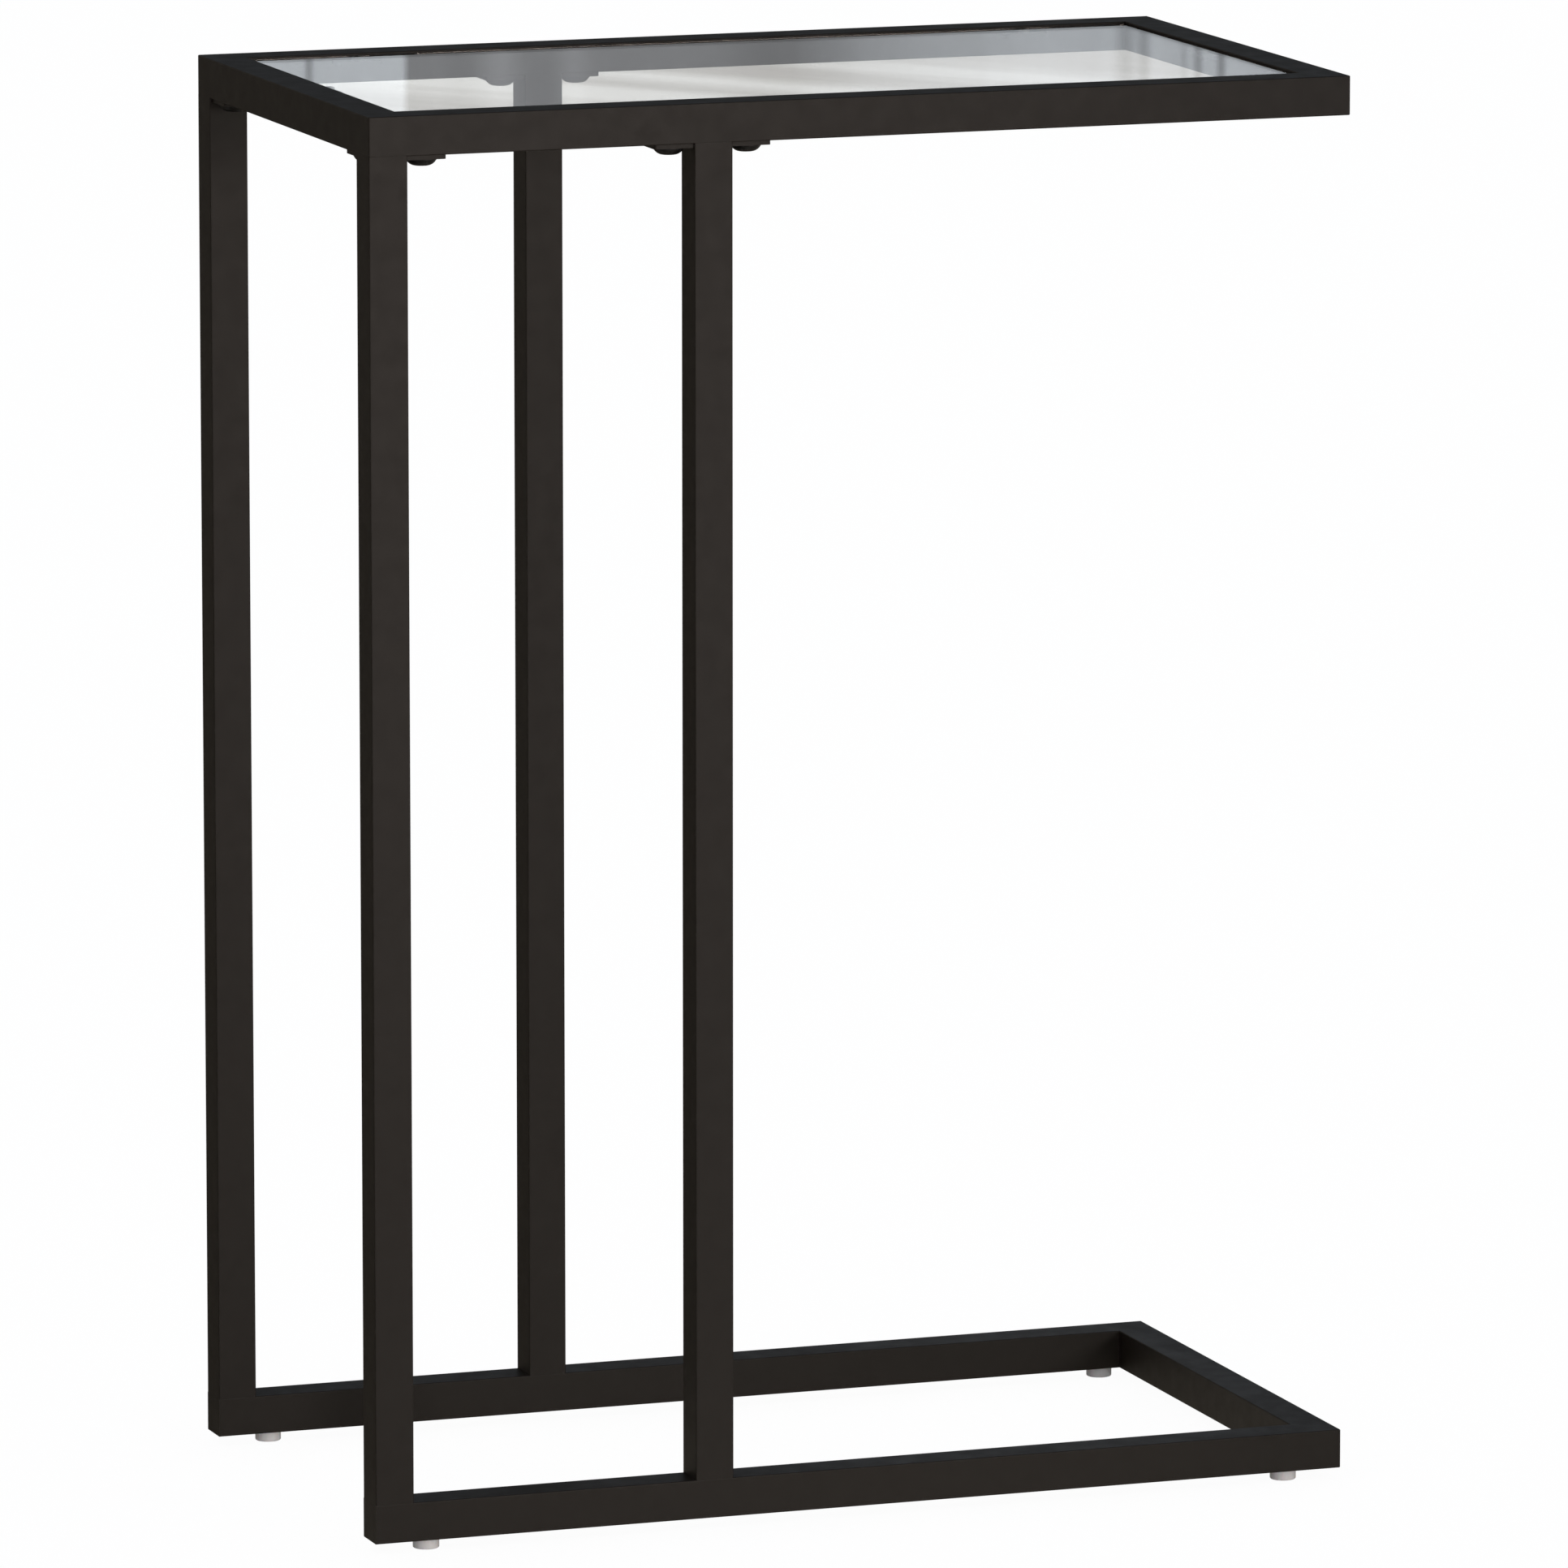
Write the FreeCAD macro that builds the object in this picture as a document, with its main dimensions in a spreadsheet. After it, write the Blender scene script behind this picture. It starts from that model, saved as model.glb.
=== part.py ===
"""C shaped side table: a mitred top frame of square steel tube with a glass sheet let into it, carried
by two pairs of legs on a base frame that is open at the leg side.

Millimetres, +Z up.  The origin is on the floor under the middle of the table.  +X runs along the long
side, with the legs at the -X end, and +Y runs to the back.
"""
import FreeCAD, Part
import math
import os

import Sketcher

Vector = FreeCAD.Vector

doc = FreeCAD.newDocument("c_side_table")

# ---------------------------------------------------------------------------------------------------
# Driving dimensions
# ---------------------------------------------------------------------------------------------------
DIMENSIONS = {
    # the whole frame, and the tube that all of it is cut from
    "table_width": 467.0,        # outside, along X
    "table_depth": 254.0,        # outside, along Y
    "frame_height": 645.0,       # underside of the base rails to the top of the top rails
    "tube_side": 18.0,
    "tube_wall": 1.2,
    "tube_edge": 0.5,            # radius of the tube's long outer edges
    "corner_round": 0.6,         # radius ground on a mitred corner after welding
    "leg_spacing": 152.4,        # corner leg to middle leg, centre to centre
    # glass sheet and the lugs and bumpers under it
    "glass_thickness": 5.0,
    "glass_recess": 1.0,         # glass face below the top of the rails
    "glass_gap": 1.0,            # glass edge to rail, all round
    "glass_corner": 2.5,         # radius of the sheet's four corners
    "glass_arris": 0.6,          # ground bevel round both faces
    "lug_length": 22.0,          # along the rail
    "lug_reach": 8.0,            # out from the rail
    "lug_thickness": 2.0,
    "lug_corner": 2.5,
    "lug_inset": 52.0,           # middle of a long rail's lug to the inner corner of the frame
    "bumper_diameter": 6.0,
    "bumper_height": 1.5,
    "bumper_edge": 0.4,
    "bumper_margin": 1.0,        # rim of the bumper to the tip of the lug
    # plates let into the tops of the legs, and what bolts them to the top frame
    "plate_thickness": 2.0,
    "plate_arm": 18.5,           # past the face of the leg
    "plate_fit": 0.1,            # to the leg's walls, each side
    "plate_corner": 1.2,
    "screw_from_leg": 9.25,      # screw centre to the face of the leg
    "screw_hole": 6.6,
    "thread_diameter": 6.0,
    "thread_fit": 0.05,          # between thread and nut, on the radius
    "screw_length": 14.0,        # under the head
    "head_diameter": 14.0,
    "head_height": 3.3,
    "head_rim": 0.7,             # straight rim under the slope
    "head_crown": 7.0,           # diameter of the flat round the socket
    "socket_width": 4.0,         # across the flats of the hexagon socket
    "socket_depth": 2.2,
    "nut_diameter": 9.0,
    "nut_length": 12.0,
    "nut_bulge": 12.0,           # the collar that setting the nut swells behind the wall
    "nut_bulge_height": 2.2,
    "nut_fit": 0.05,             # nut to its hole, on the radius
    # end plates of the base rails
    "cap_thickness": 1.5,
    "cap_fit": 0.05,
    # push-in glides under the base rails
    "glide_height": 5.0,
    "glide_diameter": 12.0,
    "glide_edge": 0.4,
    "glide_left": 26.5,          # glide centre to the open end of the base
    "glide_right": 25.0,         # glide centre to the closed end of the base
    "stem_diameter": 6.4,
    "barb_diameter": 7.4,
    "barb_gap": 0.4,             # barb above the inside of the wall
    "barb_length": 5.0,
    "barb_tip": 4.0,             # diameter that the barb tapers to
    "glide_fit": 0.1,            # stem to its hole, on the radius
}

sheet = doc.addObject("Spreadsheet::Sheet", "size")
for row, (name, value) in enumerate(DIMENSIONS.items(), start=1):
    sheet.set(f"A{row}", name)
    sheet.set(f"B{row}", str(value))
    sheet.setAlias(f"B{row}", name)
doc.recompute()

# Places and sizes that follow from the driving dimensions
HALF_SIDE = "(size.tube_side / 2)"
BORE = "(size.tube_side - 2 * size.tube_wall)"
HALF_BORE = f"({BORE} / 2)"
FRONT = "(-size.table_depth / 2 + size.tube_side / 2)"
BACK = "(size.table_depth / 2 - size.tube_side / 2)"
LEFT = "(-size.table_width / 2 + size.tube_side / 2)"
RIGHT = "(size.table_width / 2 - size.tube_side / 2)"
MIDDLE = f"({LEFT} + size.leg_spacing)"
BASE_AXIS = "(size.glide_height + size.tube_side / 2)"
LEG_FOOT = "(size.glide_height + size.tube_side)"
LEG_LENGTH = "(size.frame_height - 2 * size.tube_side)"
LEG_HEAD = f"({LEG_FOOT} + {LEG_LENGTH})"
TOP_AXIS = f"({LEG_HEAD} + size.tube_side / 2)"
GLASS_TOP = f"({LEG_HEAD} + size.tube_side - size.glass_recess)"
GLASS_UNDER = f"({GLASS_TOP} - size.glass_thickness)"
OPENING_X = "(size.table_width - 2 * size.tube_side)"
OPENING_Y = "(size.table_depth - 2 * size.tube_side)"
ARM_END = "(size.tube_side / 2 + size.plate_arm)"
SCREW_OUT = "(size.tube_side / 2 + size.screw_from_leg)"


# ---------------------------------------------------------------------------------------------------
# Sketches and features
# ---------------------------------------------------------------------------------------------------
def new_body(label):
    body = doc.addObject("PartDesign::Body", label)
    body.Label = label
    return body


def new_sketch(body, name, plane, height=None):
    """A sketch on one of the body's own planes, lifted off it by an expression if one is given."""
    sketch = body.newObject("Sketcher::SketchObject", name)
    support = next(item for item in body.Origin.OriginFeatures if item.Role == plane)
    sketch.AttachmentSupport = [(support, "")]
    sketch.MapMode = "FlatFace"
    if height:
        sketch.setExpression("AttachmentOffset.Base.z", height)
    return sketch


def bind(sketch, constraint, expression):
    """Adds a constraint and ties its value to an expression."""
    index = sketch.addConstraint(constraint)
    name = f"size_{index}"
    sketch.renameConstraint(index, name)
    sketch.setExpression(f"Constraints.{name}", expression)


def number(sketch, expression):
    return float(sketch.evalExpression(expression))


def draw_outline(sketch, corners, arcs=None):
    """A closed outline through corners, each a pair of expressions, taken anticlockwise.

    arcs gives the radius of each side that is an arc bulging outwards, by the side's number.
    """
    arcs = arcs or {}
    points = [Vector(number(sketch, x), number(sketch, y), 0) for x, y in corners]
    count = len(points)
    for side, start in enumerate(points):
        end = points[(side + 1) % count]
        if side not in arcs:
            sketch.addGeometry(Part.LineSegment(start, end), False)
            continue
        radius = number(sketch, arcs[side])
        chord = end - start
        across = Vector(-chord.y, chord.x, 0).normalize()
        rise = math.sqrt(max(radius ** 2 - (chord.Length / 2) ** 2, 0))
        centre = start + chord / 2 + across * rise
        angles = [math.atan2(point.y - centre.y, point.x - centre.x) for point in (start, end)]
        circle = Part.Circle(centre, Vector(0, 0, 1), radius)
        sketch.addGeometry(Part.ArcOfCircle(circle, *angles), False)
    for side, (x, y) in enumerate(corners):
        sketch.addConstraint(Sketcher.Constraint("Coincident", side, 2, (side + 1) % count, 1))
        bind(sketch, Sketcher.Constraint("DistanceX", -1, 1, side, 1, points[side].x), x)
        bind(sketch, Sketcher.Constraint("DistanceY", -1, 1, side, 1, points[side].y), y)
        if side in arcs:
            bind(sketch, Sketcher.Constraint("Radius", side, number(sketch, arcs[side])), arcs[side])


def draw_rectangle(sketch, width, height):
    """A rectangle centred on the sketch's origin."""
    x = f"({width} / 2)"
    y = f"({height} / 2)"
    draw_outline(sketch, [(f"-{x}", f"-{y}"), (x, f"-{y}"), (x, y), (f"-{x}", y)])


def draw_circle(sketch, x, y, diameter):
    centre = Vector(number(sketch, x), number(sketch, y), 0)
    radius = number(sketch, diameter) / 2
    index = sketch.addGeometry(Part.Circle(centre, Vector(0, 0, 1), radius), False)
    bind(sketch, Sketcher.Constraint("DistanceX", -1, 1, index, 3, centre.x), x)
    bind(sketch, Sketcher.Constraint("DistanceY", -1, 1, index, 3, centre.y), y)
    bind(sketch, Sketcher.Constraint("Diameter", index, 2 * radius), diameter)


def pad(body, sketch, length, both_ways=False):
    feature = body.newObject("PartDesign::Pad", "Pad")
    feature.Profile = sketch
    feature.setExpression("Length", length)
    feature.Midplane = both_ways
    doc.recompute()
    return feature


def pocket(body, sketch, depth=None, upwards=False, both_ways=False):
    """Cuts a sketch down from its plane, to a depth or right through, and proves that it cut."""
    before = body.Shape.Volume
    feature = body.newObject("PartDesign::Pocket", "Pocket")
    feature.Profile = sketch
    if depth:
        feature.setExpression("Length", depth)
    else:
        feature.Type = "ThroughAll"
    feature.Reversed = upwards
    feature.Midplane = both_ways
    doc.recompute()
    if body.Shape.Volume >= before:
        raise RuntimeError(f"{body.Label}: {sketch.Name} cuts nothing")
    return feature


def revolve(body, sketch):
    feature = body.newObject("PartDesign::Revolution", "Revolution")
    feature.Profile = sketch
    feature.ReferenceAxis = (sketch, ["V_Axis"])
    feature.Angle = 360
    doc.recompute()
    return feature


def edges_where(shape, test):
    return [f"Edge{number_}" for number_, edge in enumerate(shape.Edges, start=1) if test(edge)]


def dress(body, kind, size, test):
    """Rounds or bevels (kind Fillet or Chamfer) every edge of the body that passes a test."""
    base = body.Tip
    feature = body.newObject(f"PartDesign::{kind}", kind)
    feature.Base = (base, edges_where(base.Shape, test))
    feature.setExpression("Radius" if kind == "Fillet" else "Size", size)
    doc.recompute()
    return feature


def runs_along(edge, axis):
    """True for a straight edge parallel to an axis."""
    return isinstance(edge.Curve, Part.Line) and abs(abs(edge.Curve.Direction.dot(axis)) - 1) < 1e-6


def lies_flat(edge):
    return abs(edge.BoundBox.ZLength) < 1e-6


def place(body, x, y, z, turn=0):
    """Puts a body at three expressions, turned about +Z."""
    body.Placement = FreeCAD.Placement(Vector(), FreeCAD.Rotation(Vector(0, 0, 1), turn))
    for axis, expression in zip("xyz", (x, y, z)):
        body.setExpression(f"Placement.Base.{axis}", expression)


# ---------------------------------------------------------------------------------------------------
# Rails: mitred square tube, drilled in its underside
# ---------------------------------------------------------------------------------------------------
def rail_outline(length, mitres):
    """Plan of a rail along X with its outer side at -Y; a mitred end has its outer corner ground round."""
    end = f"({length} / 2)"
    inset = "(size.corner_round * (1 - 1 / sqrt(2)))"
    start_mitred, end_mitred = mitres
    corners, arcs = [], {}
    if start_mitred:
        arcs[0] = "size.corner_round"
        corners += [(f"-{end} + {inset}", f"-{HALF_SIDE} + {inset}"),
                    (f"-{end} + size.corner_round", f"-{HALF_SIDE}")]
    else:
        corners += [(f"-{end}", f"-{HALF_SIDE}")]
    if end_mitred:
        arcs[len(corners)] = "size.corner_round"
        corners += [(f"{end} - size.corner_round", f"-{HALF_SIDE}"),
                    (f"{end} - {inset}", f"-{HALF_SIDE} + {inset}"),
                    (f"{end} - size.tube_side", HALF_SIDE)]
    else:
        corners += [(end, f"-{HALF_SIDE}"), (end, HALF_SIDE)]
    corners += [(f"-{end} + size.tube_side" if start_mitred else f"-{end}", HALF_SIDE)]
    return corners, arcs


def make_rail(label, length, mitres, place_at, turn, holes=(), hole_diameter=None):
    """A rail along its own X; holes are the places along it of the holes in its underside."""
    body = new_body(label)
    plan = new_sketch(body, "Plan", "XY_Plane")
    draw_outline(plan, *rail_outline(length, mitres))
    pad(body, plan, "size.tube_side", both_ways=True)
    dress(body, "Fillet", "size.tube_edge", lambda edge: lies_flat(edge) and (
        runs_along(edge, Vector(1, 0, 0)) or isinstance(edge.Curve, Part.Circle)))
    bore = new_sketch(body, "Bore", "YZ_Plane")
    draw_rectangle(bore, BORE, BORE)
    pocket(body, bore, both_ways=True)
    if holes:
        drilling = new_sketch(body, "Drilling", "XY_Plane")
        for along in holes:
            draw_circle(drilling, along, "0", hole_diameter)
        pocket(body, drilling)
    place(body, *place_at, turn)
    return body


CORNER_SCREW = f"({LEFT} + {SCREW_OUT})"
SCREWS_ALONG = [CORNER_SCREW, f"({MIDDLE} - {SCREW_OUT})", f"({MIDDLE} + {SCREW_OUT})"]
SCREW_BACK = f"({BACK} - {SCREW_OUT})"
NUT_HOLE = "(size.nut_diameter + 2 * size.nut_fit)"
GLIDE_LEFT = "(-size.table_width / 2 + size.glide_left)"
GLIDE_RIGHT = "(size.table_width / 2 - size.glide_right)"
GLIDE_HOLE = "(size.stem_diameter + 2 * size.glide_fit)"
BOTH = (True, True)

make_rail("top_rail_front", "size.table_width", BOTH, ("0", FRONT, TOP_AXIS), 0,
          SCREWS_ALONG, NUT_HOLE)
make_rail("top_rail_back", "size.table_width", BOTH, ("0", BACK, TOP_AXIS), 180,
          [f"-{along}" for along in SCREWS_ALONG], NUT_HOLE)
make_rail("top_rail_left", "size.table_depth", BOTH, (LEFT, "0", TOP_AXIS), -90,
          [SCREW_BACK, f"-{SCREW_BACK}"], NUT_HOLE)
make_rail("top_rail_right", "size.table_depth", BOTH, (RIGHT, "0", TOP_AXIS), 90)

make_rail("base_rail_front", "size.table_width", (False, True), ("0", FRONT, BASE_AXIS), 0,
          [GLIDE_LEFT, GLIDE_RIGHT], GLIDE_HOLE)
make_rail("base_rail_back", "size.table_width", (True, False), ("0", BACK, BASE_AXIS), 180,
          [f"-{GLIDE_LEFT}", f"-{GLIDE_RIGHT}"], GLIDE_HOLE)
make_rail("base_rail_right", "size.table_depth", BOTH, (RIGHT, "0", BASE_AXIS), 90)


# ---------------------------------------------------------------------------------------------------
# Legs: square tube, its head notched for the arms of a plate
# ---------------------------------------------------------------------------------------------------
def arm_outline(direction, start, end, half_width):
    """A rectangle along +X, -X or +Y, from start to end."""
    if direction == "+X":
        return [(start, f"-{half_width}"), (end, f"-{half_width}"), (end, half_width), (start, half_width)]
    if direction == "-X":
        return [(f"-{end}", f"-{half_width}"), (f"-{start}", f"-{half_width}"),
                (f"-{start}", half_width), (f"-{end}", half_width)]
    return [(f"-{half_width}", start), (half_width, start), (half_width, end), (f"-{half_width}", end)]


def make_leg(label, x, y, turn, arms):
    body = new_body(label)
    section = new_sketch(body, "Section", "XY_Plane")
    draw_rectangle(section, "size.tube_side", "size.tube_side")
    pad(body, section, LEG_LENGTH)
    dress(body, "Fillet", "size.tube_edge", lambda edge: runs_along(edge, Vector(0, 0, 1)))
    bore = new_sketch(body, "Bore", "XY_Plane", LEG_LENGTH)
    draw_rectangle(bore, BORE, BORE)
    pocket(body, bore)
    for direction in arms:
        notch = new_sketch(body, "Notch", "XY_Plane", LEG_LENGTH)
        draw_outline(notch, arm_outline(direction, f"({HALF_BORE} / 2)", "size.tube_side", HALF_BORE))
        pocket(body, notch, "size.plate_thickness")
    place(body, x, y, LEG_FOOT, turn)
    return body


make_leg("corner_leg_front", LEFT, FRONT, 0, ("+X", "+Y"))
make_leg("corner_leg_back", LEFT, BACK, -90, ("+X", "+Y"))
make_leg("middle_leg_front", MIDDLE, FRONT, 0, ("+X", "-X"))
make_leg("middle_leg_back", MIDDLE, BACK, 0, ("+X", "-X"))


# ---------------------------------------------------------------------------------------------------
# Plates: let into the leg's head and welded there, an L at a corner leg and a bar at a middle leg
# ---------------------------------------------------------------------------------------------------
PLATE_HALF = f"({HALF_BORE} - size.plate_fit)"
CORNER_PLATE = [(f"-{PLATE_HALF}", f"-{PLATE_HALF}"), (ARM_END, f"-{PLATE_HALF}"), (ARM_END, PLATE_HALF),
                (PLATE_HALF, PLATE_HALF), (PLATE_HALF, ARM_END), (f"-{PLATE_HALF}", ARM_END)]
MIDDLE_PLATE = [(f"-{ARM_END}", f"-{PLATE_HALF}"), (ARM_END, f"-{PLATE_HALF}"),
                (ARM_END, PLATE_HALF), (f"-{ARM_END}", PLATE_HALF)]


def make_plate(label, outline, screws, x, y, turn):
    body = new_body(label)
    plan = new_sketch(body, "Plan", "XY_Plane")
    draw_outline(plan, outline)
    pad(body, plan, "size.plate_thickness")
    reach = number(plan, ARM_END)
    dress(body, "Fillet", "size.plate_corner", lambda edge: runs_along(edge, Vector(0, 0, 1)) and (
        abs(max(abs(edge.CenterOfMass.x), abs(edge.CenterOfMass.y)) - reach) < 1e-6))
    holes = new_sketch(body, "Holes", "XY_Plane", "size.plate_thickness")
    for across, along in screws:
        draw_circle(holes, across, along, "size.screw_hole")
    pocket(body, holes)
    place(body, x, y, f"({LEG_HEAD} - size.plate_thickness)", turn)
    return body


corner_holes = [(SCREW_OUT, "0"), ("0", SCREW_OUT)]
middle_holes = [(SCREW_OUT, "0"), (f"-{SCREW_OUT}", "0")]
make_plate("corner_plate_front", CORNER_PLATE, corner_holes, LEFT, FRONT, 0)
make_plate("corner_plate_back", CORNER_PLATE, corner_holes, LEFT, BACK, -90)
make_plate("middle_plate_front", MIDDLE_PLATE, middle_holes, MIDDLE, FRONT, 0)
make_plate("middle_plate_back", MIDDLE_PLATE, middle_holes, MIDDLE, BACK, 0)


# ---------------------------------------------------------------------------------------------------
# Truss head screws up through the plates, and the threaded inserts that they turn into
# ---------------------------------------------------------------------------------------------------
def make_screw(label, x, y):
    """A screw standing on its low bevelled head, its bearing face at z = 0."""
    thread = "(size.thread_diameter / 2)"
    head = "(size.head_diameter / 2)"
    crown = "(size.head_crown / 2)"
    body = new_body(label)
    profile = new_sketch(body, "Profile", "XZ_Plane")
    draw_outline(profile, [("0", "-size.head_height"), (crown, "-size.head_height"), (head, "-size.head_rim"),
                           (head, "0"), (thread, "0"), (thread, "size.screw_length"),
                           ("0", "size.screw_length")])
    revolve(body, profile)
    socket = new_sketch(body, "Socket", "XY_Plane", "-size.head_height")
    point, flat, half = "size.socket_width / sqrt(3)", "size.socket_width / sqrt(12)", "size.socket_width / 2"
    draw_outline(socket, [(f"-{point}", "0"), (f"-{flat}", f"-{half}"), (flat, f"-{half}"),
                          (point, "0"), (flat, half), (f"-{flat}", half)])
    pocket(body, socket, "size.socket_depth", upwards=True)
    place(body, x, y, f"({LEG_HEAD} - size.plate_thickness)")
    return body


def make_nut(label, x, y):
    """A flush threaded insert, set from below, its mouth at z = 0."""
    thread = "(size.thread_diameter / 2 + size.thread_fit)"
    outside = "(size.nut_diameter / 2)"
    collar = "(size.nut_bulge / 2)"
    collar_top = "(size.tube_wall + size.nut_bulge_height)"
    body = new_body(label)
    profile = new_sketch(body, "Profile", "XZ_Plane")
    draw_outline(profile, [(thread, "0"), (outside, "0"), (outside, "size.tube_wall"),
                           (collar, "size.tube_wall"), (outside, collar_top),
                           (outside, "size.nut_length"), (thread, "size.nut_length")])
    revolve(body, profile)
    place(body, x, y, LEG_HEAD)
    return body


fixings = {
    "corner_front_long": (CORNER_SCREW, FRONT),
    "corner_front_short": (LEFT, f"-{SCREW_BACK}"),
    "corner_back_long": (CORNER_SCREW, BACK),
    "corner_back_short": (LEFT, SCREW_BACK),
    "middle_front_left": (SCREWS_ALONG[1], FRONT),
    "middle_front_right": (SCREWS_ALONG[2], FRONT),
    "middle_back_left": (SCREWS_ALONG[1], BACK),
    "middle_back_right": (SCREWS_ALONG[2], BACK),
}
for where, (x, y) in fixings.items():
    make_screw(f"screw_{where}", x, y)
    make_nut(f"rivet_nut_{where}", x, y)


# ---------------------------------------------------------------------------------------------------
# Glass: a sheet with ground edges that lies on bumpers, which lugs inside the top frame carry
# ---------------------------------------------------------------------------------------------------
def make_glass(label):
    body = new_body(label)
    plan = new_sketch(body, "Plan", "XY_Plane")
    draw_rectangle(plan, f"({OPENING_X} - 2 * size.glass_gap)", f"({OPENING_Y} - 2 * size.glass_gap)")
    pad(body, plan, "size.glass_thickness")
    dress(body, "Fillet", "size.glass_corner", lambda edge: runs_along(edge, Vector(0, 0, 1)))
    dress(body, "Chamfer", "size.glass_arris", lies_flat)
    place(body, "0", "0", GLASS_UNDER)
    return body


def make_lug(label, x, y, turn):
    """A tab on the inner face of a rail, reaching out along its own +Y."""
    body = new_body(label)
    plan = new_sketch(body, "Plan", "XY_Plane")
    half = "(size.lug_length / 2)"
    draw_outline(plan, [(f"-{half}", "0"), (half, "0"), (half, "size.lug_reach"), (f"-{half}", "size.lug_reach")])
    pad(body, plan, "size.lug_thickness")
    reach = number(plan, "size.lug_reach")
    dress(body, "Fillet", "size.lug_corner", lambda edge: runs_along(edge, Vector(0, 0, 1)) and (
        edge.CenterOfMass.y > reach - 1e-6))
    place(body, x, y, LUG_UNDER, turn)
    return body


def make_bumper(label, x, y):
    body = new_body(label)
    plan = new_sketch(body, "Plan", "XY_Plane")
    draw_circle(plan, "0", "0", "size.bumper_diameter")
    pad(body, plan, "size.bumper_height")
    height = number(plan, "size.bumper_height")
    dress(body, "Chamfer", "size.bumper_edge", lambda edge: lies_flat(edge) and (
        edge.CenterOfMass.z > height - 1e-6))
    place(body, x, y, f"({GLASS_UNDER} - size.bumper_height)")
    return body


LUG_UNDER = f"({GLASS_UNDER} - size.bumper_height - size.lug_thickness)"
BUMPER_OUT = "(size.lug_reach - size.bumper_margin - size.bumper_diameter / 2)"
INNER_X = f"({OPENING_X} / 2)"
INNER_Y = f"({OPENING_Y} / 2)"
LUG_X = f"({INNER_X} - size.lug_inset)"

make_glass("glass_top")
supports = {
    "front_left": (f"-{LUG_X}", f"-{INNER_Y}", 0, f"-{LUG_X}", f"-{INNER_Y} + {BUMPER_OUT}"),
    "front_right": (LUG_X, f"-{INNER_Y}", 0, LUG_X, f"-{INNER_Y} + {BUMPER_OUT}"),
    "back_left": (f"-{LUG_X}", INNER_Y, 180, f"-{LUG_X}", f"{INNER_Y} - {BUMPER_OUT}"),
    "back_right": (LUG_X, INNER_Y, 180, LUG_X, f"{INNER_Y} - {BUMPER_OUT}"),
    "left": (f"-{INNER_X}", "0", -90, f"-{INNER_X} + {BUMPER_OUT}", "0"),
    "right": (INNER_X, "0", 90, f"{INNER_X} - {BUMPER_OUT}", "0"),
}
for where, (lug_x, lug_y, turn, bumper_x, bumper_y) in supports.items():
    make_lug(f"glass_lug_{where}", lug_x, lug_y, turn)
    make_bumper(f"glass_bumper_{where}", bumper_x, bumper_y)


# ---------------------------------------------------------------------------------------------------
# End plates and glides of the base
# ---------------------------------------------------------------------------------------------------
def make_cap(label, y):
    """A plate let into the open end of a base rail, flush with it."""
    body = new_body(label)
    section = new_sketch(body, "Section", "YZ_Plane")
    side = f"({BORE} - 2 * size.cap_fit)"
    draw_rectangle(section, side, side)
    pad(body, section, "size.cap_thickness")
    place(body, "-size.table_width / 2", y, BASE_AXIS)
    return body


def make_glide(label, x, y):
    """A glide whose stem snaps into the rail with a tapered barb, its seat against the rail at z = 0."""
    foot = "(size.glide_diameter / 2)"
    stem = "(size.stem_diameter / 2)"
    barb = "(size.tube_wall + size.barb_gap)"
    tip = f"({barb} + size.barb_length)"
    body = new_body(label)
    profile = new_sketch(body, "Profile", "XZ_Plane")
    draw_outline(profile, [("0", "-size.glide_height"), (f"{foot} - size.glide_edge", "-size.glide_height"),
                           (foot, "size.glide_edge - size.glide_height"), (foot, "0"), (stem, "0"),
                           (stem, barb), ("size.barb_diameter / 2", barb), ("size.barb_tip / 2", tip),
                           ("0", tip)])
    revolve(body, profile)
    place(body, x, y, "size.glide_height")
    return body


make_cap("base_cap_front", FRONT)
make_cap("base_cap_back", BACK)
make_glide("glide_front_left", GLIDE_LEFT, FRONT)
make_glide("glide_front_right", GLIDE_RIGHT, FRONT)
make_glide("glide_back_left", GLIDE_LEFT, BACK)
make_glide("glide_back_right", GLIDE_RIGHT, BACK)


# ---------------------------------------------------------------------------------------------------
# Proof and export
# ---------------------------------------------------------------------------------------------------
doc.recompute()
failed = [item.Label for item in doc.Objects if {"Invalid", "Error"} & set(item.State)]
bodies = [item for item in doc.Objects if item.TypeId == "PartDesign::Body"]
for body in bodies:
    if body.Shape.isNull() or not body.Shape.isValid() or len(body.Shape.Solids) != 1:
        failed.append(body.Label)
if failed:
    raise RuntimeError(f"not sound: {failed}")

os.makedirs("parts", exist_ok=True)
for body in bodies:
    body.Shape.exportStep(f"parts/{body.Label}.step")
print(len(bodies), "pieces")
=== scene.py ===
"""C shaped side table: the finishes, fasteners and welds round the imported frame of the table.

Metres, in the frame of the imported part: the origin is on the floor under the middle of the table, the
legs stand at the -X end, and +Y runs to the back.
"""
import math

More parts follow.
